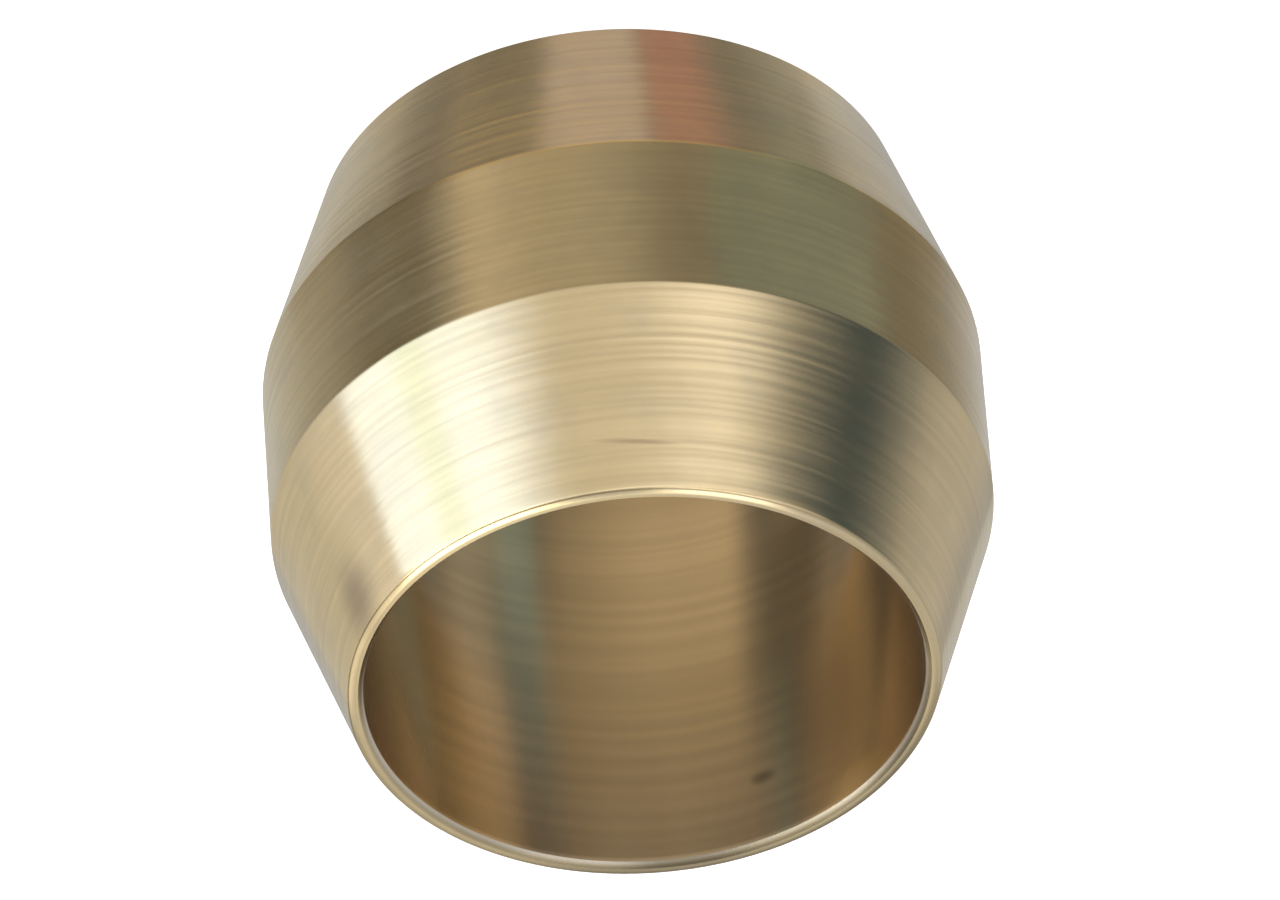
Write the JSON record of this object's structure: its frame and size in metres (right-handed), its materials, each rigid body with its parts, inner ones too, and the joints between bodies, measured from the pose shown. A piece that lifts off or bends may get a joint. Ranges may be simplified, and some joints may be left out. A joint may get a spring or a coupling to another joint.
{
  "type": "compression olive",
  "caption": "Brass ring with a plain bore, a band round its middle and a taper to each end, squeezed between nut and body to seal a small tube.",
  "frame": {"origin": "centre of the lower end face, on the axis of the bore", "axes": "+Z along the bore, from the lower end face to the upper one; +X and +Y are radial, and any direction round the ring is like any other"},
  "size_m": [0.0078, 0.0078, 0.0067],
  "materials": {
    "brass": "turned, with fine tool marks and a light tarnish"
  },
  "bodies": {
    "root": {"olive": "brass"}
  },
  "joints": []
}
